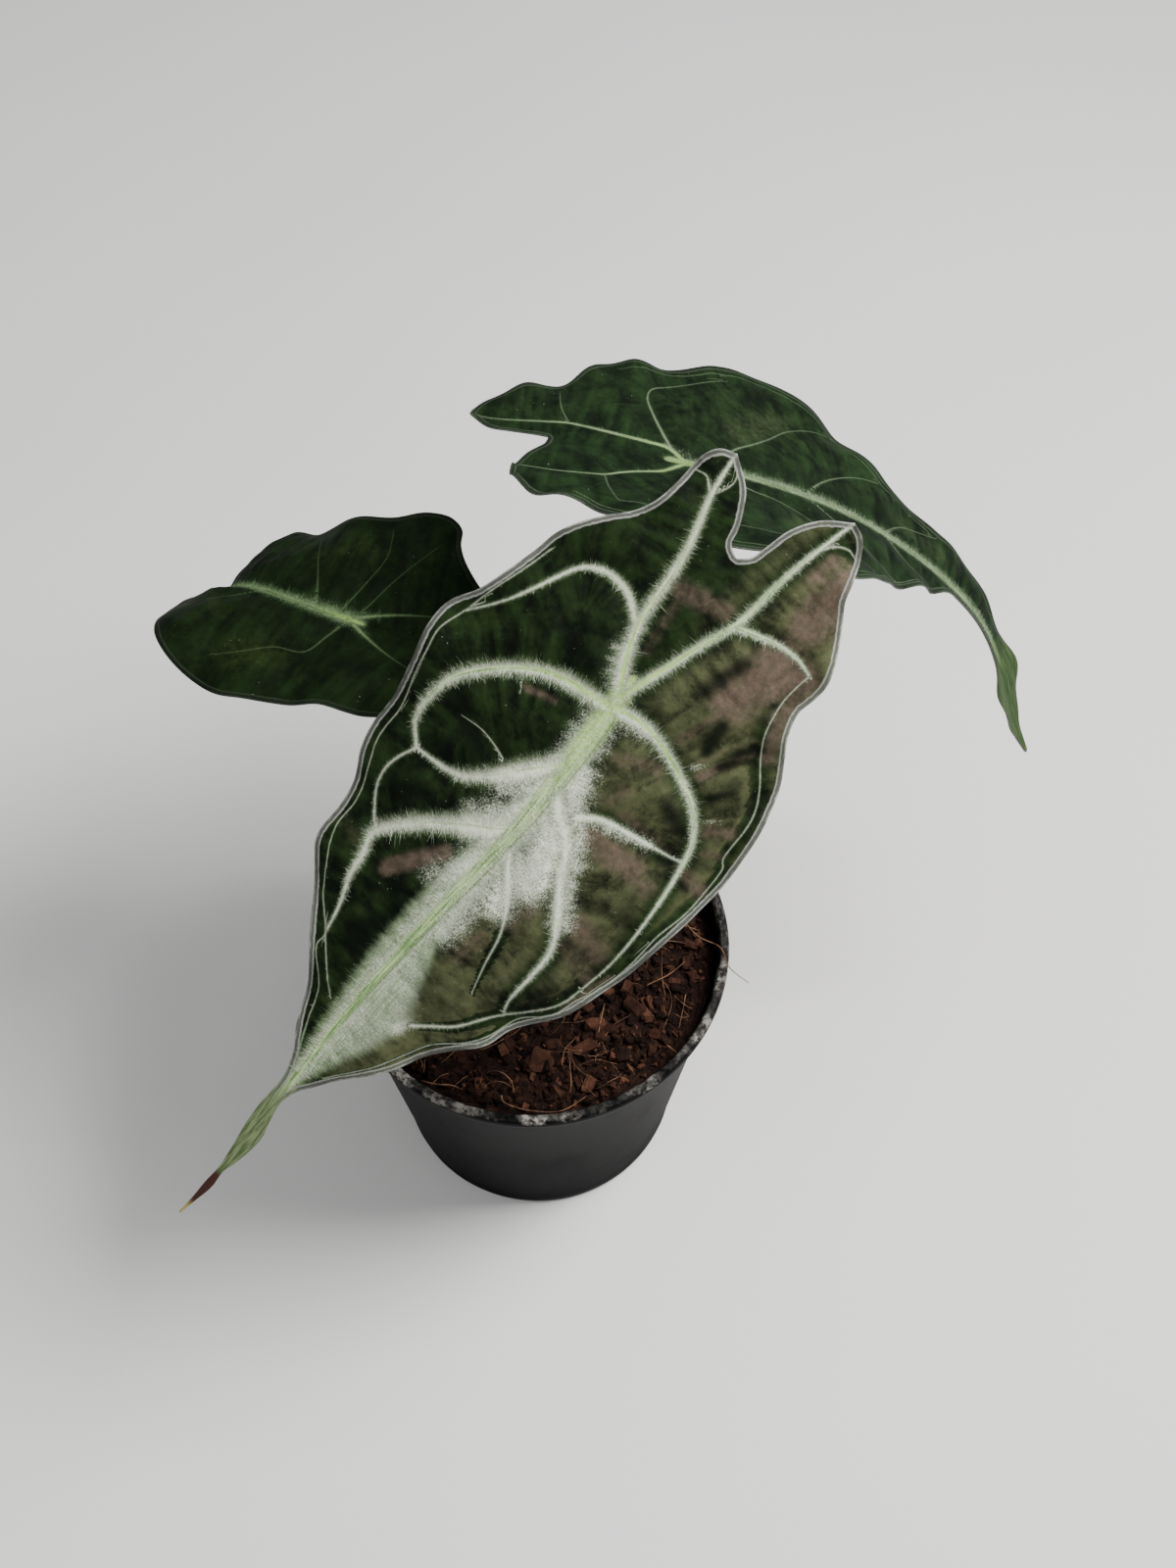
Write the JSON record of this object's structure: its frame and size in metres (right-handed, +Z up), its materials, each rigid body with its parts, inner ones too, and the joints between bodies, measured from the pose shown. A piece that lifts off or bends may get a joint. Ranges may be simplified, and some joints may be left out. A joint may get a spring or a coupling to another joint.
{
  "type": "potted alocasia",
  "caption": "House plant with large arrow-shaped velvet leaves, pale branching veins and long drip tips, on arching stalks in a round tapered nursery pot filled with coir soil.",
  "frame": {"origin": "middle of the pot's base, on the surface that the pot stands on", "axes": "+Z up, -Y towards the front, where the largest leaf hangs, +X to the right as seen from the front"},
  "size_m": [0.2313, 0.1886, 0.2425],
  "materials": {
    "pot_plastic": "satin black moulded plastic with a dry mineral crust on the lip",
    "coir_soil": "rough red-brown coir chips and fibres",
    "stem": "smooth pale green, faintly mottled",
    "leaf_veined": "velvet dark green with silvery veins",
    "leaf_dark": "velvet dark green with thin pale veins"
  },
  "bodies": {
    "root": {"pot": "pot_plastic", "soil": "coir_soil", "crown": "stem", "stalk_front": "stem", "stalk_back": "stem", "stalk_left": "stem", "leaf_front": "leaf_veined", "leaf_back": "leaf_dark", "leaf_left": "leaf_dark"}
  },
  "joints": []
}
